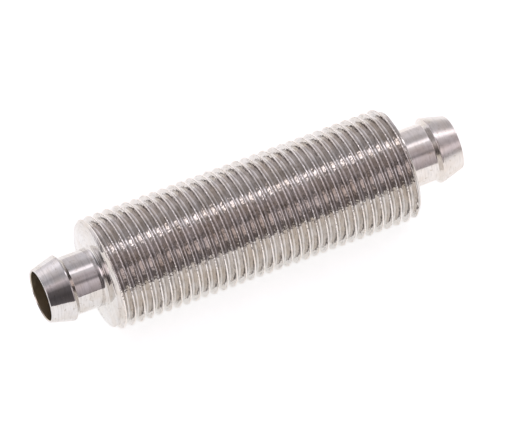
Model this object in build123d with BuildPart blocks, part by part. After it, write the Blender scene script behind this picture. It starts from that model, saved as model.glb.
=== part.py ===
"""In-line carbon dioxide diffuser with a built-in non-return valve.

A turned, nickel-plated brass sleeve is threaded on the outside from end to end, so that it can be fixed
through a panel, and has a short hose nipple at each end. Gas enters through the inlet nipple, lifts a
spring-loaded poppet off its seat, passes a porous thimble and leaves through the outlet nipple.

All sizes are in millimetres. The axis of the fitting is X, the outlet points to -X, the inlet to +X, and
the origin is at the middle of the threaded stretch, on the axis.
"""

from build123d import *

import math
import os

# ---- driving dimensions -------------------------------------------------------------------------------

# external thread, M12 x 1, right-handed, turned near the bottom of its tolerance
BODY_LENGTH = 33.0
THREAD_PITCH = 1.0
CREST_RADIUS = 5.87
THREAD_DEPTH = 0.59
CREST_FLAT = THREAD_PITCH / 8
FLANK_ANGLE = 30.0
OUTLET_CHAMFER = 0.40
INLET_CHAMFER = 0.50
THREAD_RUNOUT = 0.8 * THREAD_PITCH
THREAD_OVERCUT = 0.08
GROOVE_START_ANGLE = 20.0
SLEEVE_TURN = 96.0

# hose nipples, for hose of 6 mm inner diameter
NIPPLE_LENGTH = 6.0
NECK_RADIUS = 3.025
BARB_RADIUS = 3.45
BARB_LAND = 0.12
BARB_BACK = 0.40
BARB_CONE = 2.35
TIP_RADIUS = 2.80
BORE_RADIUS = 2.55
MOUTH_CHAMFER = 0.10
NECK_FILLET = 0.35

# stepped cavity of the sleeve, from the outlet end to the inlet end
OUTLET_WALL = 3.0
CHAMBER_RADIUS = 4.0
CHAMBER_DEPTH = 10.5
STACK_RADIUS = 4.5

# parts stacked in the cavity, each one's thickness along the axis
GASKET_THICKNESS = 0.5
GASKET_INNER_GAP = 0.2
HOLDER_THICKNESS = 2.0
GUIDE_THICKNESS = 2.0
SPACER_LENGTH = 6.0
SPACER_INNER_RADIUS = 3.95
STACK_CLEARANCE = 0.03

# porous thimble and the disc that holds its open end
THIMBLE_RADIUS = 3.0
THIMBLE_WALL = 1.0
THIMBLE_LENGTH = 10.2
THIMBLE_NOSE_FILLET = 0.8
SOCKET_DEPTH = 1.2
HOLDER_PORT_RADIUS = 2.2
PLENUM_RADIUS = 3.7
PLENUM_DEPTH = 0.5

# non-return valve
STEM_RADIUS = 1.0
STEM_CLEARANCE = 0.05
STEM_RECESS = 0.2
FLOW_HOLE_RADIUS = 0.65
FLOW_HOLE_CIRCLE = 3.0
FLOW_HOLES = 6
POPPET_RADIUS = 3.0
POPPET_THICKNESS = 1.1
SPRING_BOSS_RADIUS = 1.45
SPRING_BOSS_HEIGHT = 0.5
NOSE_GROOVE_RADIUS = 1.88
NOSE_GROOVE_WIDTH = 0.85
NOSE_LIP_RADIUS = 2.08
NOSE_LIP_WIDTH = 0.3
NOSE_CHAMFER = 0.1
POPPET_TRAVEL = 1.2
SEAL_SECTION_RADIUS = 0.40
SEAL_MEAN_RADIUS = 2.30
SEAL_GAP = 0.04
PORT_RADIUS = 1.8
SEAT_MOUTH_RADIUS = 3.2
PORT_LENGTH = 1.8

# valve spring
WIRE_RADIUS = 0.20
SPRING_MEAN_RADIUS = 1.80
SPRING_TURNS = 5.5
SPRING_END_GAP = 0.02

# how closely an edge's place and radius are matched when it is picked out
EDGE_MATCH = 0.001

# O-ring between the plug and the sleeve
PLUG_RING_POSITION = 5.0
PLUG_GROOVE_DEPTH = 0.90
PLUG_GROOVE_WIDTH = 1.2
PLUG_RING_CLEARANCE = 0.005

# ---- places along the axis ----------------------------------------------------------------------------

OUTLET_FACE = -BODY_LENGTH / 2
INLET_FACE = BODY_LENGTH / 2
OUTLET_TIP = OUTLET_FACE - NIPPLE_LENGTH
INLET_TIP = INLET_FACE + NIPPLE_LENGTH

CHAMBER_FLOOR = OUTLET_FACE + OUTLET_WALL
LEDGE = CHAMBER_FLOOR + CHAMBER_DEPTH
HOLDER_START = LEDGE + GASKET_THICKNESS
GUIDE_START = HOLDER_START + HOLDER_THICKNESS
SPACER_START = GUIDE_START + GUIDE_THICKNESS
PLUG_START = SPACER_START + SPACER_LENGTH
THIMBLE_MOUTH = HOLDER_START + SOCKET_DEPTH
SEAT_DEPTH = SEAT_MOUTH_RADIUS - PORT_RADIUS
SEAT_END = PLUG_START + SEAT_DEPTH
PORT_END = SEAT_END + PORT_LENGTH
DRILL_CONE_END = PORT_END + (BORE_RADIUS - PORT_RADIUS)
PLUG_RING_X = PLUG_START + PLUG_RING_POSITION

STACK_PART_RADIUS = STACK_RADIUS - STACK_CLEARANCE
PLUG_GROOVE_RADIUS = STACK_RADIUS - PLUG_GROOVE_DEPTH

# the seal's section clears the 45 degree seat by SEAL_GAP, measured square to the seat
SEAL_X = SEAT_END + PORT_RADIUS - SEAL_MEAN_RADIUS - math.sqrt(2) * (SEAL_SECTION_RADIUS + SEAL_GAP)
NOSE_GROOVE_START = SEAL_X - NOSE_GROOVE_WIDTH / 2
HEAD_START = NOSE_GROOVE_START - POPPET_THICKNESS
NOSE_GROOVE_END = NOSE_GROOVE_START + NOSE_GROOVE_WIDTH
NOSE_END = NOSE_GROOVE_END + NOSE_LIP_WIDTH
STEM_END = GUIDE_START + STEM_RECESS


def nipple_outline(face, outward):
    """Corners of a hose nipple's outside, from its root on the body's face to its tip.

    outward is +1 for a nipple that points to +X and -1 for one that points to -X.
    """
    tip = face + outward * NIPPLE_LENGTH
    crest_front = tip - outward * BARB_CONE
    crest_back = crest_front - outward * BARB_LAND
    neck_end = crest_back - outward * BARB_BACK
    return [
        (face, NECK_RADIUS),
        (neck_end, NECK_RADIUS),
        (crest_back, BARB_RADIUS),
        (crest_front, BARB_RADIUS),
        (tip, TIP_RADIUS),
    ]


def groove_path():
    """Helix along the thread's crest, from just past one end of the sleeve to just past the other."""
    length = BODY_LENGTH + 2 * THREAD_RUNOUT
    start = (OUTLET_FACE - THREAD_RUNOUT, 0, 0)
    helix = Helix(THREAD_PITCH, length, CREST_RADIUS, center=start, direction=(1, 0, 0))
    return helix.rotate(Axis.X, GROOVE_START_ANGLE)


def circles_at(build, x, radius):
    """Circular edges of a part, centred on the axis, at one place along it and of one radius."""

    def is_there(edge):
        return abs(edge.arc_center.X - x) < EDGE_MATCH and abs(edge.radius - radius) < EDGE_MATCH

    return build.edges().filter_by(GeomType.CIRCLE).filter_by(is_there)


# ---- threaded sleeve with the outlet nipple turned on it -----------------------------------------------

with BuildPart() as threaded_body:
    with BuildSketch(Plane.XZ):
        with BuildLine():
            Polyline(
                (OUTLET_FACE, 0),
                (OUTLET_FACE, CREST_RADIUS - OUTLET_CHAMFER),
                (OUTLET_FACE + OUTLET_CHAMFER, CREST_RADIUS),
                (INLET_FACE - INLET_CHAMFER, CREST_RADIUS),
                (INLET_FACE, CREST_RADIUS - INLET_CHAMFER),
                (INLET_FACE, 0),
                close=True,
            )
        make_face()
    revolve(axis=Axis.X)

    groove_line = groove_path()
    groove_start = groove_line @ 0
    outward = Vector(0, groove_start.Y, groove_start.Z)
    slope = math.tan(math.radians(FLANK_ANGLE))
    half_at_root = (THREAD_PITCH - CREST_FLAT) / 2 - THREAD_DEPTH * slope
    half_at_top = half_at_root + (THREAD_DEPTH + THREAD_OVERCUT) * slope
    with BuildSketch(Plane(origin=groove_start, x_dir=outward, z_dir=groove_line % 0)):
        with BuildLine():
            Polyline(
                (-THREAD_DEPTH, -half_at_root),
                (-THREAD_DEPTH, half_at_root),
                (THREAD_OVERCUT, half_at_top),
                (THREAD_OVERCUT, -half_at_top),
                close=True,
            )
        make_face()
    sweep(path=groove_line, is_frenet=True, mode=Mode.SUBTRACT)

    with BuildSketch(Plane.XZ):
        with BuildLine():
            Polyline(*nipple_outline(OUTLET_FACE, -1), (OUTLET_TIP, 0), (OUTLET_FACE, 0), close=True)
        make_face()
    revolve(axis=Axis.X)
    fillet(circles_at(threaded_body, OUTLET_FACE, NECK_RADIUS), NECK_FILLET)

    with BuildSketch(Plane.YZ.offset(OUTLET_TIP)):
        Circle(BORE_RADIUS)
    extrude(amount=CHAMBER_FLOOR - OUTLET_TIP, mode=Mode.SUBTRACT)
    with BuildSketch(Plane.YZ.offset(CHAMBER_FLOOR)):
        Circle(CHAMBER_RADIUS)
    extrude(amount=CHAMBER_DEPTH, mode=Mode.SUBTRACT)
    with BuildSketch(Plane.YZ.offset(LEDGE)):
        Circle(STACK_RADIUS)
    extrude(amount=INLET_FACE - LEDGE, mode=Mode.SUBTRACT)
    chamfer(circles_at(threaded_body, OUTLET_TIP, BORE_RADIUS), MOUTH_CHAMFER)
# the groove runs out of the outlet face at this turn of the sleeve about its own axis
threaded_body.part = threaded_body.part.rotate(Axis.X, SLEEVE_TURN)
threaded_body.part.label = "threaded_body"

# ---- plug with the inlet nipple and the valve seat, pressed into the sleeve -----------------------------

with BuildPart() as inlet_plug:
    with BuildSketch(Plane.XZ):
        with BuildLine():
            Polyline(
                (PLUG_START, 0),
                (PLUG_START, STACK_RADIUS),
                (INLET_FACE, STACK_RADIUS),
                *nipple_outline(INLET_FACE, 1),
                (INLET_TIP, 0),
                close=True,
            )
        make_face()
    revolve(axis=Axis.X)
    fillet(circles_at(inlet_plug, INLET_FACE, NECK_RADIUS), NECK_FILLET)

    # bore, drill cone, valve port and 45 degree seat
    with BuildSketch(Plane.XZ):
        with BuildLine():
            Polyline(
                (PLUG_START, 0),
                (PLUG_START, SEAT_MOUTH_RADIUS),
                (SEAT_END, PORT_RADIUS),
                (PORT_END, PORT_RADIUS),
                (DRILL_CONE_END, BORE_RADIUS),
                (INLET_TIP, BORE_RADIUS),
                (INLET_TIP, 0),
                close=True,
            )
        make_face()
    revolve(axis=Axis.X, mode=Mode.SUBTRACT)
    chamfer(circles_at(inlet_plug, INLET_TIP, BORE_RADIUS), MOUTH_CHAMFER)

    # groove for the O-ring
    with BuildSketch(Plane.YZ.offset(PLUG_RING_X - PLUG_GROOVE_WIDTH / 2)):
        Circle(STACK_RADIUS)
        Circle(PLUG_GROOVE_RADIUS, mode=Mode.SUBTRACT)
    extrude(amount=PLUG_GROOVE_WIDTH, mode=Mode.SUBTRACT)
inlet_plug.part.label = "inlet_plug"

# ---- O-ring between the plug and the sleeve -------------------------------------------------------------

with BuildPart() as plug_o_ring:
    ring_section = PLUG_GROOVE_DEPTH / 2 - PLUG_RING_CLEARANCE
    with BuildSketch(Plane.XZ):
        with Locations((PLUG_RING_X, STACK_RADIUS - PLUG_GROOVE_DEPTH / 2)):
            Circle(ring_section)
    revolve(axis=Axis.X)
plug_o_ring.part.label = "plug_o_ring"

# ---- gasket under the holder ----------------------------------------------------------------------------

with BuildPart() as holder_gasket:
    with BuildSketch(Plane.YZ.offset(LEDGE)):
        Circle(STACK_PART_RADIUS)
        Circle(THIMBLE_RADIUS + GASKET_INNER_GAP, mode=Mode.SUBTRACT)
    extrude(amount=GASKET_THICKNESS)
holder_gasket.part.label = "holder_gasket"

# ---- disc that holds the thimble ------------------------------------------------------------------------

with BuildPart() as thimble_holder:
    with BuildSketch(Plane.YZ.offset(HOLDER_START)):
        Circle(STACK_PART_RADIUS)
    extrude(amount=HOLDER_THICKNESS)
    with BuildSketch(Plane.YZ.offset(HOLDER_START)):
        Circle(THIMBLE_RADIUS)
    extrude(amount=SOCKET_DEPTH, mode=Mode.SUBTRACT)
    with BuildSketch(Plane.YZ.offset(HOLDER_START)):
        Circle(HOLDER_PORT_RADIUS)
    extrude(amount=HOLDER_THICKNESS, mode=Mode.SUBTRACT)
    with BuildSketch(Plane.YZ.offset(GUIDE_START - PLENUM_DEPTH)):
        Circle(PLENUM_RADIUS)
    extrude(amount=PLENUM_DEPTH, mode=Mode.SUBTRACT)
thimble_holder.part.label = "thimble_holder"

# ---- porous thimble, closed towards the outlet -----------------------------------------------------------

with BuildPart() as diffuser_thimble:
    with BuildSketch(Plane.YZ.offset(THIMBLE_MOUTH)):
        Circle(THIMBLE_RADIUS)
    extrude(amount=-THIMBLE_LENGTH)
    fillet(circles_at(diffuser_thimble, THIMBLE_MOUTH - THIMBLE_LENGTH, THIMBLE_RADIUS), THIMBLE_NOSE_FILLET)
    with BuildSketch(Plane.YZ.offset(THIMBLE_MOUTH)):
        Circle(THIMBLE_RADIUS - THIMBLE_WALL)
    extrude(amount=-(THIMBLE_LENGTH - THIMBLE_WALL), mode=Mode.SUBTRACT)
diffuser_thimble.part.label = "diffuser_thimble"

# ---- guide disc for the poppet's stem, with flow holes round it ------------------------------------------

with BuildPart() as poppet_guide:
    with BuildSketch(Plane.YZ.offset(GUIDE_START)):
        Circle(STACK_PART_RADIUS)
        Circle(STEM_RADIUS + STEM_CLEARANCE, mode=Mode.SUBTRACT)
        with PolarLocations(FLOW_HOLE_CIRCLE, FLOW_HOLES):
            Circle(FLOW_HOLE_RADIUS, mode=Mode.SUBTRACT)
    extrude(amount=GUIDE_THICKNESS)
poppet_guide.part.label = "poppet_guide"

# ---- spacer tube between the guide and the plug ----------------------------------------------------------

with BuildPart() as spacer_tube:
    with BuildSketch(Plane.YZ.offset(SPACER_START)):
        Circle(STACK_PART_RADIUS)
        Circle(SPACER_INNER_RADIUS, mode=Mode.SUBTRACT)
    extrude(amount=SPACER_LENGTH)
spacer_tube.part.label = "spacer_tube"

# ---- poppet: stem, spring boss, head, seal groove and nose lip -------------------------------------------

with BuildPart() as poppet:
    with BuildSketch(Plane.XZ):
        with BuildLine():
            Polyline(
                (STEM_END, 0),
                (STEM_END, STEM_RADIUS),
                (HEAD_START - SPRING_BOSS_HEIGHT, STEM_RADIUS),
                (HEAD_START - SPRING_BOSS_HEIGHT, SPRING_BOSS_RADIUS),
                (HEAD_START, SPRING_BOSS_RADIUS),
                (HEAD_START, POPPET_RADIUS),
                (NOSE_GROOVE_START, POPPET_RADIUS),
                (NOSE_GROOVE_START, NOSE_GROOVE_RADIUS),
                (NOSE_GROOVE_END, NOSE_GROOVE_RADIUS),
                (NOSE_GROOVE_END, NOSE_LIP_RADIUS),
                (NOSE_END - NOSE_CHAMFER, NOSE_LIP_RADIUS),
                (NOSE_END, NOSE_LIP_RADIUS - NOSE_CHAMFER),
                (NOSE_END, 0),
                close=True,
            )
        make_face()
    revolve(axis=Axis.X)
poppet.part.label = "poppet"

# ---- rubber seal ring on the poppet's nose ---------------------------------------------------------------

with BuildPart() as poppet_seal:
    with BuildSketch(Plane.XZ):
        with Locations((SEAL_X, SEAL_MEAN_RADIUS)):
            Circle(SEAL_SECTION_RADIUS)
    revolve(axis=Axis.X)
poppet_seal.part.label = "poppet_seal"

# ---- valve spring ----------------------------------------------------------------------------------------

with BuildPart() as valve_spring:
    spring_start = SPACER_START + WIRE_RADIUS + SPRING_END_GAP
    spring_length = HEAD_START - WIRE_RADIUS - SPRING_END_GAP - spring_start
    coil = Helix(
        spring_length / SPRING_TURNS,
        spring_length,
        SPRING_MEAN_RADIUS,
        center=(spring_start, 0, 0),
        direction=(1, 0, 0),
    )
    with BuildSketch(Plane(origin=coil @ 0, z_dir=coil % 0)):
        Circle(WIRE_RADIUS)
    sweep(path=coil, is_frenet=True)
valve_spring.part.label = "valve_spring"

# ---- files -----------------------------------------------------------------------------------------------

os.makedirs("parts", exist_ok=True)
export_step(threaded_body.part, "parts/threaded_body.step")
export_step(inlet_plug.part, "parts/inlet_plug.step")
export_step(plug_o_ring.part, "parts/plug_o_ring.step")
export_step(holder_gasket.part, "parts/holder_gasket.step")
export_step(thimble_holder.part, "parts/thimble_holder.step")
export_step(diffuser_thimble.part, "parts/diffuser_thimble.step")
export_step(poppet_guide.part, "parts/poppet_guide.step")
export_step(spacer_tube.part, "parts/spacer_tube.step")
export_step(poppet.part, "parts/poppet.step")
export_step(poppet_seal.part, "parts/poppet_seal.step")
export_step(valve_spring.part, "parts/valve_spring.step")
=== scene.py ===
"""Looks for the threaded in-line diffuser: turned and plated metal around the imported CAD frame.

Sizes of the fitting, the width of the view and the camera's aim are in millimetres. The camera's distance and
the floor are in metres. The fitting's axis is X.
"""

import math

import bpy
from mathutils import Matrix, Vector


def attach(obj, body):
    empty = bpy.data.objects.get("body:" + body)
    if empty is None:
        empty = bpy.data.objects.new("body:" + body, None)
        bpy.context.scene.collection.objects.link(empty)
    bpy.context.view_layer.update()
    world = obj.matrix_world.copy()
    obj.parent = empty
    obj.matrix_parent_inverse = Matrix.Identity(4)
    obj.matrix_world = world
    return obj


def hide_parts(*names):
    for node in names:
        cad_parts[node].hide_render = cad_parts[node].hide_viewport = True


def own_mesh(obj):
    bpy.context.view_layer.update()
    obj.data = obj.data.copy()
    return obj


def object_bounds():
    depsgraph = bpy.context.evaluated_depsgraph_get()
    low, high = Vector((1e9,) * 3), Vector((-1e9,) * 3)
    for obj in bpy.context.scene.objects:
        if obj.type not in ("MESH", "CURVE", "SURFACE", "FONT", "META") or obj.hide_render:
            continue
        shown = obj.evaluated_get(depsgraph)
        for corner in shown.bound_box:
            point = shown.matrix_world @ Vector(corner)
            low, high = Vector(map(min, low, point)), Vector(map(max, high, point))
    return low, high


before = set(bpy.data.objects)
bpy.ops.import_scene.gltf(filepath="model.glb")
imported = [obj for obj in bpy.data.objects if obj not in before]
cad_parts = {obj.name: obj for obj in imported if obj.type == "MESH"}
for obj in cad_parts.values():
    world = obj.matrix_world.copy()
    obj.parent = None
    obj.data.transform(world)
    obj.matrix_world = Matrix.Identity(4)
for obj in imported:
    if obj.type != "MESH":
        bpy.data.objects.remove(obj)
cad_low, cad_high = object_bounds()

MM = 0.001

# ---- sizes, as in the CAD model apart from the roundings and the steps of the meshes -------------

BODY_HALF = 16.5
PITCH = 1.0
CREST_RADIUS = 5.87
ROOT_RADIUS = 5.29
CREST_FLAT = PITCH / 8
FLANK_SLOPE = math.tan(math.radians(30.0))
CREST_ROUND = 0.06
ROOT_ROUND = 0.09
GROOVE_AT_OUTLET = -17.3
GROOVE_ANGLE = math.radians(206.0)
OUTLET_CHAMFER = 0.40
INLET_CHAMFER = 0.50
RIM_ROUND = 0.05
EDGE_ROUND = 0.05

NIPPLE_LENGTH = 6.0
NECK_RADIUS = 3.025
NECK_FILLET = 0.35
BARB_RADIUS = 3.45
BARB_LAND = 0.12
BARB_BACK = 0.40
BARB_CONE = 2.35
TIP_RADIUS = 2.80
BORE_RADIUS = 2.55
MOUTH_CHAMFER = 0.10
MOUTH_FLARE = 0.08

INLET_CONE = BODY_HALF + NIPPLE_LENGTH - BARB_CONE

CHAMBER_FLOOR = -13.5
CHAMBER_RADIUS = 4.0
LEDGE = -3.0
STACK_RADIUS = 4.5
PLUG_START = 7.5
SEAT_MOUTH_RADIUS = 3.2
PORT_RADIUS = 1.8
PORT_LENGTH = 1.8
RING_GROOVE_X = 12.5
RING_GROOVE_HALF = 0.6
RING_GROOVE_DEPTH = 0.9

SPRING_START = 1.52
SPRING_END = 6.23
SPRING_RADIUS = 1.80
WIRE_RADIUS = 0.20

SEGMENTS = 144
ARC_STEPS = 4
THREAD_ARC_STEPS = 3
SUPPORT = 0.015
SHARP_ANGLE = math.radians(50.0)


# ---- outlines ------------------------------------------------------------------------------------


def rounded(corners, steps=ARC_STEPS):
    """A polyline of (x, r) points from corners (x, r, rounding radius), each corner turned into an arc.

    A point on each straight stretch, a little off the arc's end, keeps the shading of that stretch flat.
    """
    points = []
    for k, (x, r, radius) in enumerate(corners):
        here = Vector((x, r))
        if radius <= 0 or k in (0, len(corners) - 1):
            points.append(here)
            continue
        before = Vector(corners[k - 1][:2]) - here
        after = Vector(corners[k + 1][:2]) - here
        room_before, room_after = before.length / 2, after.length / 2
        before.normalize()
        after.normalize()
        half = before.angle(after) / 2
        reach = radius / math.tan(half)
        middle = here + (before + after).normalized() * (radius / math.sin(half))
        start = here + before * reach - middle
        turn = start.angle_signed(here + after * reach - middle)
        off = reach + SUPPORT
        if off < room_before:
            points.append(here + before * off)
        for step in range(steps + 1):
            a = -turn * step / steps
            spoke = Vector((
                start.x * math.cos(a) - start.y * math.sin(a),
                start.x * math.sin(a) + start.y * math.cos(a),
            ))
            points.append(middle + spoke)
        if off < room_after:
            points.append(here + after * off)
    return [(p.x, p.y) for p in points]


def interpolated(points, x):
    """The radius at x on a polyline whose x grows."""
    for (x0, r0), (x1, r1) in zip(points, points[1:]):
        if x <= x1:
            return r0 + (r1 - r0) * (x - x0) / (x1 - x0)
    return points[-1][1]


def nipple_corners(face, outward):
    """Outside and mouth of a hose nipple from its root to the bore, as (x, r, rounding) corners."""
    tip = face + outward * NIPPLE_LENGTH
    crest_front = tip - outward * BARB_CONE
    crest_back = crest_front - outward * BARB_LAND
    return [
        (face, NECK_RADIUS, NECK_FILLET),
        (crest_back - outward * BARB_BACK, NECK_RADIUS, 0.10),
        (crest_back, BARB_RADIUS, 0.06),
        (crest_front, BARB_RADIUS, 0.10),
        (tip, TIP_RADIUS, 0.06),
        (tip, BORE_RADIUS + MOUTH_FLARE, 0.02),
        (tip - outward * MOUTH_CHAMFER, BORE_RADIUS, EDGE_ROUND),
    ]


# ---- meshes --------------------------------------------------------------------------------------


def finished(name, verts, faces):
    """A smooth-shaded object in metres from millimetre vertices, with the sharper edges kept sharp."""
    mesh = bpy.data.meshes.new(name)
    mesh.from_pydata([tuple(c * MM for c in v) for v in verts], [], faces)
    mesh.validate()
    mesh.polygons.foreach_set("use_smooth", [True] * len(mesh.polygons))
    mesh.set_sharp_from_angle(angle=SHARP_ANGLE)
    piece = bpy.data.objects.new(name, mesh)
    bpy.context.scene.collection.objects.link(piece)
    return piece


def at_angle(x, r, angle):
    return (x, r * math.cos(angle), r * math.sin(angle))


def lathe(name, outline, segments=SEGMENTS):
    """A closed solid of revolution about X from a closed outline of (x, r) points."""
    verts = [at_angle(x, r, math.tau * j / segments) for j in range(segments) for x, r in outline]
    rows = len(outline)
    faces = []
    for j in range(segments):
        for i in range(rows):
            here, there = j * rows, (j + 1) % segments * rows
            up = (i + 1) % rows
            faces.append((here + i, here + up, there + up, there + i))
    return finished(name, verts, faces)


def thread_pitch_outline():
    """One pitch of the thread from the middle of a groove to the middle of the next one."""
    crest = CREST_FLAT / 2
    foot = crest + (CREST_RADIUS - ROOT_RADIUS) * FLANK_SLOPE
    corners = [
        (-PITCH / 2, ROOT_RADIUS, 0),
        (-foot, ROOT_RADIUS, ROOT_ROUND),
        (-crest, CREST_RADIUS, CREST_ROUND),
        (crest, CREST_RADIUS, CREST_ROUND),
        (foot, ROOT_RADIUS, ROOT_ROUND),
        (PITCH / 2, ROOT_RADIUS, 0),
    ]
    return rounded(corners, THREAD_ARC_STEPS)


def chamfered(x, r):
    """The thread's radius, cut down by the chamfer at each end of the sleeve."""
    at_outlet = CREST_RADIUS - OUTLET_CHAMFER + (x + BODY_HALF)
    at_inlet = CREST_RADIUS - INLET_CHAMFER + (BODY_HALF - x)
    return min(r, at_outlet, at_inlet)


def sleeve_inside():
    """Corners from the far face's inner edge through the cavity and the bore, and over the outlet nipple."""
    cavity = [
        (BODY_HALF, STACK_RADIUS, EDGE_ROUND),
        (LEDGE, STACK_RADIUS, EDGE_ROUND),
        (LEDGE, CHAMBER_RADIUS, EDGE_ROUND),
        (CHAMBER_FLOOR, CHAMBER_RADIUS, 0.10),
        (CHAMBER_FLOOR, BORE_RADIUS, EDGE_ROUND),
    ]
    return cavity + nipple_corners(-BODY_HALF, -1)[::-1]


def groove_start(angle):
    """Where the first groove starts at this angle. It moves along by one pitch in a turn."""
    return GROOVE_AT_OUTLET - 2 * PITCH + PITCH * (angle - GROOVE_ANGLE) / math.tau


def thread_radius(pitch, start, x):
    """The thread's radius at x, on a line along the axis whose first groove is at start."""
    along = (x - start) % PITCH - PITCH / 2
    return chamfered(x, interpolated(pitch, along))


def rim_outline(end, inward, radius):
    """Three points round a rim, from the end face to where the thread begins."""
    return [
        (end, radius - RIM_ROUND),
        (end + inward * 0.3 * RIM_ROUND, radius - 0.3 * RIM_ROUND),
        (end + inward * RIM_ROUND, radius),
    ]


def sleeve_column(verts, pitch, turns, inner, angle):
    """Adds one line of vertices along the axis and returns their numbers: near rim, thread and the rest.

    A thread vertex that would pass an end becomes that end's rim vertex.
    """

    def add_all(outline):
        first = len(verts)
        verts.extend(at_angle(x, r, angle) for x, r in outline)
        return list(range(first, len(verts)))

    start = groove_start(angle)
    low, high = -BODY_HALF + RIM_ROUND, BODY_HALF - RIM_ROUND
    near_rim = add_all(rim_outline(-BODY_HALF, 1, thread_radius(pitch, start, low)))
    far_rim = add_all(rim_outline(BODY_HALF, -1, thread_radius(pitch, start, high))[::-1])
    thread = []
    for turn in range(turns + 1):
        for along, r in pitch[:-1]:
            x = start + turn * PITCH + along + PITCH / 2
            if x <= low:
                thread.append(near_rim[-1])
            elif x >= high:
                thread.append(far_rim[0])
            else:
                thread += add_all([(x, chamfered(x, r))])
    return near_rim, thread, far_rim + add_all(inner) + near_rim[:1]


def strip(one, other):
    """Faces between two lines of vertices; a place where they share a vertex gives a triangle."""
    faces = []
    for a, b, c, d in zip(one, one[1:], other[1:], other):
        corners = list(dict.fromkeys((a, b, c, d)))
        if len(corners) > 2:
            faces.append(corners)
    return faces


def threaded_sleeve(name):
    """The sleeve as one closed mesh: helical thread, rims, faces, cavity, bore and outlet nipple."""
    pitch = thread_pitch_outline()
    turns = math.ceil(2 * BODY_HALF / PITCH) + 3
    on_face = CREST_RADIUS - 1
    inner = rounded([(BODY_HALF, on_face, 0), *sleeve_inside(), (-BODY_HALF, on_face, 0)])[1:-1]
    verts = []
    columns = [
        sleeve_column(verts, pitch, turns, inner, math.tau * j / SEGMENTS) for j in range(SEGMENTS)
    ]
    faces = []
    for j in range(SEGMENTS):
        near_a, thread_a, rest_a = columns[j]
        near_b, thread_b, rest_b = columns[(j + 1) % SEGMENTS]
        if j == SEGMENTS - 1:
            one_pitch = len(pitch) - 1
            thread_b = thread_b[one_pitch:] + thread_b[-1:] * one_pitch
        faces += strip(near_a, near_b) + strip(thread_a, thread_b) + strip(rest_a, rest_b)
    return finished(name, verts, faces)


def inlet_plug(name):
    """The plug with the inlet nipple, its bore, valve port and seat."""
    seat_end = PLUG_START + SEAT_MOUTH_RADIUS - PORT_RADIUS
    port_end = seat_end + PORT_LENGTH
    groove_low, groove_high = RING_GROOVE_X - RING_GROOVE_HALF, RING_GROOVE_X + RING_GROOVE_HALF
    groove_radius = STACK_RADIUS - RING_GROOVE_DEPTH
    corners = [
        (PLUG_START, STACK_RADIUS - 0.5, 0),
        (PLUG_START, STACK_RADIUS, 0.08),
        (groove_low, STACK_RADIUS, EDGE_ROUND),
        (groove_low, groove_radius, 0.08),
        (groove_high, groove_radius, 0.08),
        (groove_high, STACK_RADIUS, EDGE_ROUND),
        (BODY_HALF, STACK_RADIUS, 0.04),
        *nipple_corners(BODY_HALF, 1),
        (port_end + BORE_RADIUS - PORT_RADIUS, BORE_RADIUS, 0.1),
        (port_end, PORT_RADIUS, 0.1),
        (seat_end, PORT_RADIUS, 0.08),
        (PLUG_START, SEAT_MOUTH_RADIUS, EDGE_ROUND),
        (PLUG_START, STACK_RADIUS - 0.5, 0),
    ]
    return lathe(name, rounded(corners)[:-1])


def spring(name):
    """The valve spring: round wire, its end coils closed and ground flat."""
    closed_turns, open_turns = 1.0, 4.5
    turns = 2 * closed_turns + open_turns
    low, high = SPRING_START + WIRE_RADIUS / 2, SPRING_END - WIRE_RADIUS / 2
    closed_rise = 2 * WIRE_RADIUS * closed_turns
    per_turn, around = 40, 12
    verts = []
    rings = round(turns * per_turn) + 1
    for k in range(rings):
        turn = k / per_turn
        along = (turn - closed_turns) / open_turns
        if along < 0:
            x = low + closed_rise * turn / closed_turns
        elif along > 1:
            x = high - closed_rise * (turns - turn) / closed_turns
        else:
            x = low + closed_rise + (high - low - 2 * closed_rise) * along
        for i in range(around):
            a = math.tau * i / around
            place = x + WIRE_RADIUS * math.sin(a)
            place = min(max(place, SPRING_START), SPRING_END)
            verts.append(at_angle(place, SPRING_RADIUS + WIRE_RADIUS * math.cos(a), math.tau * turn))
    faces = [tuple(range(around)), tuple(range((rings - 1) * around, rings * around))[::-1]]
    for k in range(rings - 1):
        for i in range(around):
            here, there = k * around, (k + 1) * around
            after = (i + 1) % around
            faces.append((here + i, there + i, there + after, here + after))
    return finished(name, verts, faces)


# ---- materials -----------------------------------------------------------------------------------


def add(tree, kind, inputs=None, **settings):
    """A new shader node with its settings; each input is linked from a socket or set to a plain value."""
    node = tree.nodes.new(kind)
    for name, value in settings.items():
        setattr(node, name, value)
    for key, value in (inputs or {}).items():
        if isinstance(value, bpy.types.NodeSocket):
            tree.links.new(value, node.inputs[key])
        else:
            node.inputs[key].default_value = value
    return node


def math_node(tree, operation, first, second=0.0):
    return add(tree, "ShaderNodeMath", {0: first, 1: second}, operation=operation).outputs[0]


def ramp(tree, factor, stops):
    """A colour ramp from (position, colour) stops; a plain number is a grey."""
    node = add(tree, "ShaderNodeValToRGB", {"Fac": factor})
    elements = node.color_ramp.elements
    for k, (position, colour) in enumerate(stops):
        element = elements[k] if k < len(elements) else elements.new(position)
        element.position = position
        rgb = (colour,) * 3 if isinstance(colour, (int, float)) else colour
        element.color = (*rgb, 1)
    return node.outputs["Color"]


def blend(tree, factor, one, other, blend_type="MIX"):
    inputs = {"Factor": factor, "A": one, "B": other}
    return add(tree, "ShaderNodeMix", inputs, data_type="RGBA", blend_type=blend_type).outputs["Result"]


def rescaled(tree, value, low, high, to_low=0.0, to_high=1.0):
    inputs = {"Value": value, "From Min": low, "From Max": high, "To Min": to_low, "To Max": to_high}
    return add(tree, "ShaderNodeMapRange", inputs).outputs["Result"]


def new_material(name, metallic):
    material = bpy.data.materials.new(name)
    material.use_nodes = True
    shader = material.node_tree.nodes["Principled BSDF"]
    shader.inputs["Metallic"].default_value = metallic
    return material, material.node_tree, shader


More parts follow.
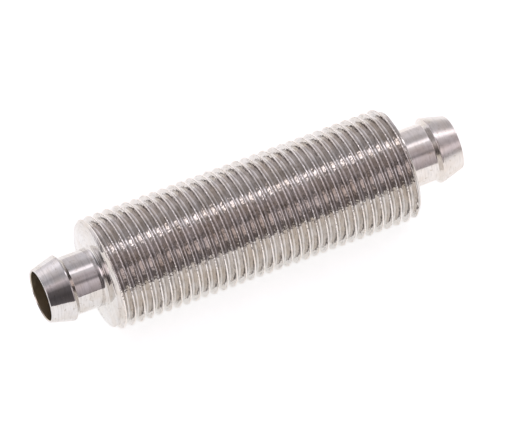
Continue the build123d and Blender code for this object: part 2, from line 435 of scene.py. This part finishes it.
def places(tree):
    """Sockets for the position, for x along the axis and for the distance from the axis, in millimetres."""
    coord = add(tree, "ShaderNodeTexCoord")
    inputs = {0: coord.outputs["Object"], "Scale": 1 / MM}
    position = add(tree, "ShaderNodeVectorMath", inputs, operation="SCALE").outputs["Vector"]
    split = add(tree, "ShaderNodeSeparateXYZ", {0: position})
    flat = add(tree, "ShaderNodeCombineXYZ", {"Y": split.outputs["Y"], "Z": split.outputs["Z"]})
    radius = add(tree, "ShaderNodeVectorMath", {0: flat.outputs[0]}, operation="LENGTH").outputs["Value"]
    return position, split.outputs["X"], radius


def noise(tree, position, size, detail=3.0):
    """Even noise, its grains about size millimetres across."""
    inputs = {"Vector": position, "Scale": 1 / size, "Detail": detail}
    return add(tree, "ShaderNodeTexNoise", inputs).outputs["Fac"]


def turning_marks(tree, position, radius, width, length, detail=4.0):
    """Noise drawn out round the axis, as a lathe tool leaves it: lines of one width and mean length."""
    stretch = {0: position, 1: (1 / width, 1 / length, 1 / length)}
    drawn = add(tree, "ShaderNodeVectorMath", stretch, operation="MULTIPLY").outputs["Vector"]
    inputs = {"Vector": drawn, "W": math_node(tree, "DIVIDE", radius, width), "Scale": 1.0, "Detail": detail}
    return add(tree, "ShaderNodeTexNoise", inputs, noise_dimensions="4D").outputs["Fac"]


def bump(tree, height, depth):
    """A normal from a height that runs from 0 to 1 over a depth in millimetres."""
    inputs = {"Height": height, "Strength": 1.0, "Distance": depth * MM}
    return add(tree, "ShaderNodeBump", inputs).outputs["Normal"]


# Crest plating is paler as a painted highlight; root and groove plating are darker as painted shade.
CLEAN_PLATING = (0.73, 0.71, 0.69)
# Paler plating on the inlet nipple.
PALE_INLET_PLATING = (0.80, 0.76, 0.72)
CREST_PLATING_HIGHLIGHT = (0.90, 0.86, 0.82)
GROOVE_PLATING_SHADE = (0.70, 0.67, 0.637)
ROOT_PLATING_SHADE = (0.64, 0.61, 0.58)
BARE_BORE = (0.46, 0.39, 0.28)
# Painted shade: the near-black line under each crest.
CREST_SHADE_LINE = (0.16, 0.14, 0.14)


def thread_zone(tree, x):
    """1 on the thread, 0 on the end faces and the nipples."""
    from_end = math_node(tree, "SUBTRACT", BODY_HALF, math_node(tree, "ABSOLUTE", x))
    return rescaled(tree, from_end, 0.02, 0.12)


def plating_colour(tree, radius, on_thread, on_inlet):
    """Plating by place: clean, paler on the inlet nipple, darker in the roots and grooves as painted shade
    and paler on the crests as a painted highlight.
    """
    depth = rescaled(tree, radius, 5.0, 6.0)
    stops = [
        (0.18, CLEAN_PLATING),
        (0.28, ROOT_PLATING_SHADE),
        (0.42, GROOVE_PLATING_SHADE),
        (0.74, GROOVE_PLATING_SHADE),
        (0.86, CREST_PLATING_HIGHLIGHT),
    ]
    on_nipples = blend(tree, on_inlet, (*CLEAN_PLATING, 1), (*PALE_INLET_PLATING, 1))
    return blend(tree, on_thread, on_nipples, ramp(tree, depth, stops))


def painted_crest_shade(tree, radius):
    """Painted shade: a thin near-black line on the inlet side of each crest, just under its top, in place of
    a dark reflection there; white elsewhere.
    """
    normal = add(tree, "ShaderNodeNewGeometry").outputs["Normal"]
    facing = add(tree, "ShaderNodeSeparateXYZ", {0: normal})
    faces_inlet = rescaled(tree, facing.outputs["X"], 0.55, 0.80)
    shade_under_crest = math_node(tree, "MULTIPLY", faces_inlet, rescaled(tree, radius, 5.62, 5.70))
    return blend(tree, shade_under_crest, (1, 1, 1, 1), (*CREST_SHADE_LINE, 1))


def turned_streaks(tree, fine, on_thread):
    """Light streaks from turning, deeper on the thread."""
    light_streaks = ramp(tree, fine, [(0.30, 0.84), (0.50, 0.97), (0.70, 1.0)])
    deep_streaks = ramp(tree, fine, [(0.34, 0.74), (0.46, 0.95), (0.56, 1.0)])
    return blend(tree, on_thread, light_streaks, deep_streaks)


def plating_roughness(tree, x, spots, on_inlet, in_bore):
    """Bright plating, satin on the inlet nipple and more so on its cone, and a dull bore."""
    bright = rescaled(tree, spots, 0.3, 0.8, 0.04, 0.10)
    dull_bore = rescaled(tree, in_bore, 0.0, 1.0, 0.0, 0.30)
    satin = rescaled(tree, on_inlet, 0.0, 1.0, 0.0, 0.08)
    satin_cone = rescaled(tree, x, INLET_CONE, INLET_CONE + 0.1, 0.0, 0.16)
    rubbed = math_node(tree, "ADD", satin, satin_cone)
    return math_node(tree, "ADD", math_node(tree, "ADD", bright, dull_bore), rubbed)


def plating_relief(tree, position, radius, fine, coarse, spots, on_thread):
    """Height of the turning marks and spots, ten times deeper on the thread, with nicks along the crests."""
    marks = math_node(tree, "ADD", math_node(tree, "MULTIPLY", fine, 0.6), coarse)
    height = math_node(tree, "ADD", marks, spots)
    depth = rescaled(tree, on_thread, 0.0, 1.0, 0.3, 3.0)
    roughened = math_node(tree, "MULTIPLY", height, depth)
    grains = noise(tree, position, 0.24, detail=1.0)
    nicks = math_node(tree, "MULTIPLY", grains, rescaled(tree, radius, 5.80, 5.86))
    return math_node(tree, "ADD", roughened, math_node(tree, "MULTIPLY", nicks, 8.0))


def nickel_material():
    """Bright nickel over brass, turned and tarnished, with paler crests as a painted highlight, painted shade
    in the grooves and under each crest, and a bare brass bore.
    """
    material, tree, shader = new_material("nickel", 1.0)
    position, x, radius = places(tree)
    fine = turning_marks(tree, position, radius, 0.14, 1.1, detail=2.0)
    coarse = turning_marks(tree, position, radius, 0.50, 5.0, detail=1.0)
    spots = noise(tree, position, 0.35, detail=1.0)
    clouds = noise(tree, position, 1.6)
    on_thread = thread_zone(tree, x)
    on_inlet = rescaled(tree, x, BODY_HALF, BODY_HALF + 0.1)
    in_bore = rescaled(tree, radius, BORE_RADIUS + 0.01, BORE_RADIUS + 0.06, 1.0, 0.0)

    # Crests paler as a painted highlight, roots and grooves darker as painted shade.
    colour = plating_colour(tree, radius, on_thread, on_inlet)
    streaks = turned_streaks(tree, fine, on_thread)
    stains = ramp(tree, clouds, [(0.35, (0.93, 0.90, 0.86)), (0.60, (1.0, 1.0, 1.0))])
    specks = ramp(tree, spots, [(0.24, (0.82, 0.79, 0.74)), (0.36, (1.0, 1.0, 1.0))])
    # The last layer is painted shade: a dark line under each crest.
    for layer in (streaks, stains, specks, painted_crest_shade(tree, radius)):
        colour = blend(tree, 1.0, colour, layer, "MULTIPLY")
    colour = blend(tree, in_bore, colour, (*BARE_BORE, 1))
    roughness = plating_roughness(tree, x, spots, on_inlet, in_bore)
    relief = plating_relief(tree, position, radius, fine, coarse, spots, on_thread)
    tree.links.new(colour, shader.inputs["Base Color"])
    tree.links.new(roughness, shader.inputs["Roughness"])
    tree.links.new(bump(tree, relief, 0.008), shader.inputs["Normal"])
    return material


def brass_material():
    """Bare turned brass, a little darker where it has browned."""
    material, tree, shader = new_material("brass", 1.0)
    position, _, radius = places(tree)
    marks = turning_marks(tree, position, radius, 0.12, 3.0)
    clouds = noise(tree, position, 1.2)
    bright = ramp(tree, marks, [(0.30, (0.70, 0.52, 0.24)), (0.65, (0.83, 0.64, 0.33))])
    browned = ramp(tree, clouds, [(0.35, (0.78, 0.70, 0.60)), (0.60, (1.0, 1.0, 1.0))])
    tree.links.new(blend(tree, 1.0, bright, browned, "MULTIPLY"), shader.inputs["Base Color"])
    tree.links.new(rescaled(tree, clouds, 0.3, 0.7, 0.18, 0.32), shader.inputs["Roughness"])
    tree.links.new(bump(tree, marks, 0.006), shader.inputs["Normal"])
    return material


def steel_material():
    """Spring wire with a faint straw tint and a fine grain."""
    material, tree, shader = new_material("spring_wire", 1.0)
    position, _, _ = places(tree)
    grain = noise(tree, position, 0.08)
    clouds = noise(tree, position, 0.9)
    tint = ramp(tree, clouds, [(0.35, (0.50, 0.48, 0.44)), (0.65, (0.62, 0.61, 0.60))])
    tree.links.new(tint, shader.inputs["Base Color"])
    tree.links.new(rescaled(tree, grain, 0.3, 0.7, 0.20, 0.34), shader.inputs["Roughness"])
    tree.links.new(bump(tree, grain, 0.003), shader.inputs["Normal"])
    return material


def rubber_material():
    """Moulded black rubber: fine matt grain with dusty patches."""
    material, tree, shader = new_material("rubber", 0.0)
    position, _, _ = places(tree)
    grain = noise(tree, position, 0.06)
    dust = noise(tree, position, 0.8)
    tree.links.new(ramp(tree, dust, [(0.4, 0.018), (0.7, 0.045)]), shader.inputs["Base Color"])
    tree.links.new(rescaled(tree, grain, 0.3, 0.7, 0.50, 0.72), shader.inputs["Roughness"])
    tree.links.new(bump(tree, grain, 0.010), shader.inputs["Normal"])
    return material


def ceramic_material():
    """Sintered ceramic: pale grains with darker pores between them."""
    material, tree, shader = new_material("porous_ceramic", 0.0)
    position, _, _ = places(tree)
    inputs = {"Vector": position, "Scale": 1 / 0.16}
    cells = add(tree, "ShaderNodeTexVoronoi", inputs, feature="DISTANCE_TO_EDGE").outputs["Distance"]
    clouds = noise(tree, position, 1.5)
    grains = ramp(tree, cells, [(0.02, (0.48, 0.45, 0.40)), (0.16, (0.84, 0.82, 0.77))])
    shade = ramp(tree, clouds, [(0.35, 0.88), (0.65, 1.0)])
    tree.links.new(blend(tree, 1.0, grains, shade, "MULTIPLY"), shader.inputs["Base Color"])
    tree.links.new(rescaled(tree, cells, 0.0, 0.2, 0.95, 0.75), shader.inputs["Roughness"])
    tree.links.new(bump(tree, cells, 0.03), shader.inputs["Normal"])
    return material


def table_material():
    """The pale table: matt white, with a glow of its own so that it comes out white in the picture."""
    material, tree, shader = new_material("white_table", 0.0)
    coord = add(tree, "ShaderNodeTexCoord")
    inputs = {"Vector": coord.outputs["Object"], "Scale": 900.0, "Detail": 2.0}
    weave = add(tree, "ShaderNodeTexNoise", inputs)
    tree.links.new(ramp(tree, weave.outputs["Fac"], [(0.3, 0.58), (0.7, 0.62)]), shader.inputs["Base Color"])
    shader.inputs["Roughness"].default_value = 0.7
    shader.inputs["Emission Color"].default_value = (1, 1, 1, 1)
    shader.inputs["Emission Strength"].default_value = FLOOR_GLOW
    return material


# ---- stage ---------------------------------------------------------------------------------------

CAMERA_AZIMUTH = math.radians(-25.13)
CAMERA_ELEVATION = math.radians(53.03)
CAMERA_DISTANCE = 0.80
VIEW_WIDTH = 51.45
AIM_ASIDE = 1.17
AIM_ABOVE = 0.08
FLOOR_GLOW = 0.76
FLOOR_HALF = 0.8
FLOOR_GAP = 0.00002

# The room that the metal mirrors: (degrees from straight up, light level) stops round the fitting's axis.
# Degrees are positive on the camera's side. The levels were worked out from the photograph's brightness,
# with scratch renders that showed which way each point of the metal reflects. Each list is one view of
# the room, in order along X. It is blended into the next between two shares of the direction's X.
OFF_OUTLET = [
    (-180, 1.08), (-100, 1.10), (-75, 0.90), (-55, 0.35), (-25, 0.12), (-8, 0.25), (2, 0.90),
    (10, 1.50), (36, 1.40), (45, 0.90), (52, 0.25), (74, 0.15), (84, 0.60), (97, 1.05),
]
OUTLET_SIDE = [
    (-180, 1.08), (-104, 1.10), (-80, 0.90), (-60, 1.22), (-50, 1.20), (-38, 0.82), (-24, 0.65),
    (-12, 0.44), (0, 0.52), (11, 0.74), (17, 0.54), (23, 0.39), (29, 0.27), (35, 0.14), (60, 0.08),
    (86, 0.12), (92, 0.30), (95, 1.05),
]
ABREAST = [
    (-180, 1.06), (-103, 1.10), (-89, 0.93), (-78, 0.78), (-52, 0.74), (-38, 0.54), (-25, 0.50),
    (-19, 0.62), (-15, 1.00), (-11, 1.50), (-5, 1.50), (-1, 0.80), (12, 0.60), (18, 0.49), (28, 0.50),
    (33, 0.36), (37, 0.26), (41, 0.40), (47, 0.72), (57, 0.66), (74, 0.50), (87, 0.40), (91, 0.18),
    (94, 0.24), (97, 1.04),
]
INLET_SIDE = [
    (-180, 1.06), (-132, 1.19), (-100, 0.82), (-80, 0.66), (-60, 0.50), (-41, 0.50), (-24, 0.44),
    (-20, 2.40), (-17, 3.20), (-11, 3.00), (-7, 1.00), (-3, 0.60), (2, 0.44), (16, 0.46), (27, 0.36),
    (34, 0.16), (39, 0.60), (46, 1.15), (60, 1.10), (69, 0.45), (76, 0.20), (87, 0.22), (93, 0.58),
    (102, 0.85), (117, 1.05),
]
OFF_INLET = [
    (-180, 1.06), (-110, 0.90), (-60, 0.55), (-30, 0.45), (-18, 0.90), (-4, 0.95), (10, 0.55),
    (30, 0.35), (42, 0.15), (85, 0.13), (96, 0.50), (110, 0.90),
]
ROOM_VIEWS = (OFF_OUTLET, OUTLET_SIDE, ABREAST, INLET_SIDE, OFF_INLET)
BLENDS = ((-0.55, -0.36), (-0.10, 0.20), (0.30, 0.60), (0.82, 0.94))


def make_camera():
    back = Vector((
        math.sin(CAMERA_AZIMUTH) * math.cos(CAMERA_ELEVATION),
        -math.cos(CAMERA_AZIMUTH) * math.cos(CAMERA_ELEVATION),
        math.sin(CAMERA_ELEVATION),
    ))
    data = bpy.data.cameras.new("camera")
    data.sensor_width = 36.0
    data.lens = data.sensor_width * CAMERA_DISTANCE / (VIEW_WIDTH * MM)
    data.clip_start = 0.05
    data.clip_end = 10.0
    camera = bpy.data.objects.new("camera", data)
    bpy.context.scene.collection.objects.link(camera)
    camera.rotation_mode = "QUATERNION"
    camera.rotation_quaternion = (-back).to_track_quat("-Z", "Y")
    right = camera.rotation_quaternion @ Vector((1, 0, 0))
    up = camera.rotation_quaternion @ Vector((0, 1, 0))
    camera.location = right * AIM_ASIDE * MM + up * AIM_ABOVE * MM + back * CAMERA_DISTANCE
    bpy.context.scene.camera = camera


def room_tint(degrees):
    """The light's colour by side: white below, pink on the camera's side, faintly mauve behind."""
    if abs(degrees) > 92:
        return (1, 1, 1)
    if degrees > 0:
        return (1, 0.90, 0.97)
    if -20 <= degrees <= -5:
        return (1, 0.96, 1.05)
    return (1, 0.96, 1.03)


def room_ramp(tree, place, stops):
    """One view of the room as a ramp round the axis."""
    tinted = []
    for degrees, level in stops:
        colour = tuple(level * t for t in room_tint(degrees))
        tinted.append((degrees / 360 + 0.5, colour))
    return ramp(tree, place, tinted)


def make_world():
    """Plain white for the camera and, for everything else, the room of ROOM_VIEWS."""
    world = bpy.data.worlds.new("studio")
    bpy.context.scene.world = world
    world.use_nodes = True
    tree = world.node_tree
    tree.nodes.clear()
    coord = add(tree, "ShaderNodeTexCoord")
    split = add(tree, "ShaderNodeSeparateXYZ", {0: coord.outputs["Generated"]})
    towards_camera = math_node(tree, "MULTIPLY", split.outputs["Y"], -1.0)
    angle = math_node(tree, "ARCTAN2", towards_camera, split.outputs["Z"])
    place = rescaled(tree, angle, -math.pi, math.pi)

    room = room_ramp(tree, place, ROOM_VIEWS[0])
    for (start, end), stops in zip(BLENDS, ROOM_VIEWS[1:]):
        inputs = {"Value": split.outputs["X"], "From Min": start, "From Max": end}
        share = add(tree, "ShaderNodeMapRange", inputs, interpolation_type="SMOOTHSTEP").outputs["Result"]
        room = blend(tree, share, room, room_ramp(tree, place, stops))
    reflected = add(tree, "ShaderNodeBackground", {"Color": room})
    seen = add(tree, "ShaderNodeBackground", {"Color": (1, 1, 1, 1), "Strength": 1.05})
    rays = add(tree, "ShaderNodeLightPath")
    inputs = {0: rays.outputs["Is Camera Ray"], 1: reflected.outputs[0], 2: seen.outputs[0]}
    mixed = add(tree, "ShaderNodeMixShader", inputs)
    add(tree, "ShaderNodeOutputWorld", {"Surface": mixed.outputs[0]})


def make_floor():
    half = FLOOR_HALF
    z = cad_low.z - FLOOR_GAP
    corners = [(-half, -half, z), (half, -half, z), (half, half, z), (-half, half, z)]
    mesh = bpy.data.meshes.new("floor")
    mesh.from_pydata(corners, [], [(0, 1, 2, 3)])
    floor = bpy.data.objects.new("floor", mesh)
    bpy.context.scene.collection.objects.link(floor)
    mesh.materials.append(table_material())


bpy.context.scene.view_settings.view_transform = "Standard"
make_camera()
make_world()
make_floor()

nickel = nickel_material()
brass = brass_material()
steel = steel_material()
rubber = rubber_material()
ceramic = ceramic_material()

turned = (("sleeve", threaded_sleeve, "threaded_body"), ("plug", inlet_plug, "inlet_plug"))
for name, build, node in turned:
    piece = build(name)
    piece.data.materials.append(nickel)
    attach(piece, "housing")
    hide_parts(node)

coil = spring("coil")
coil.data.materials.append(steel)
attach(coil, "housing")
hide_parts("valve_spring")
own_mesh(coil)

inner_finish = {
    "thimble_holder": brass,
    "poppet_guide": brass,
    "spacer_tube": brass,
    "poppet": brass,
    "poppet_seal": rubber,
    "plug_o_ring": rubber,
    "holder_gasket": rubber,
    "diffuser_thimble": ceramic,
}
for node, material in inner_finish.items():
    for slot in bpy.data.objects[node].material_slots:
        slot.material = material
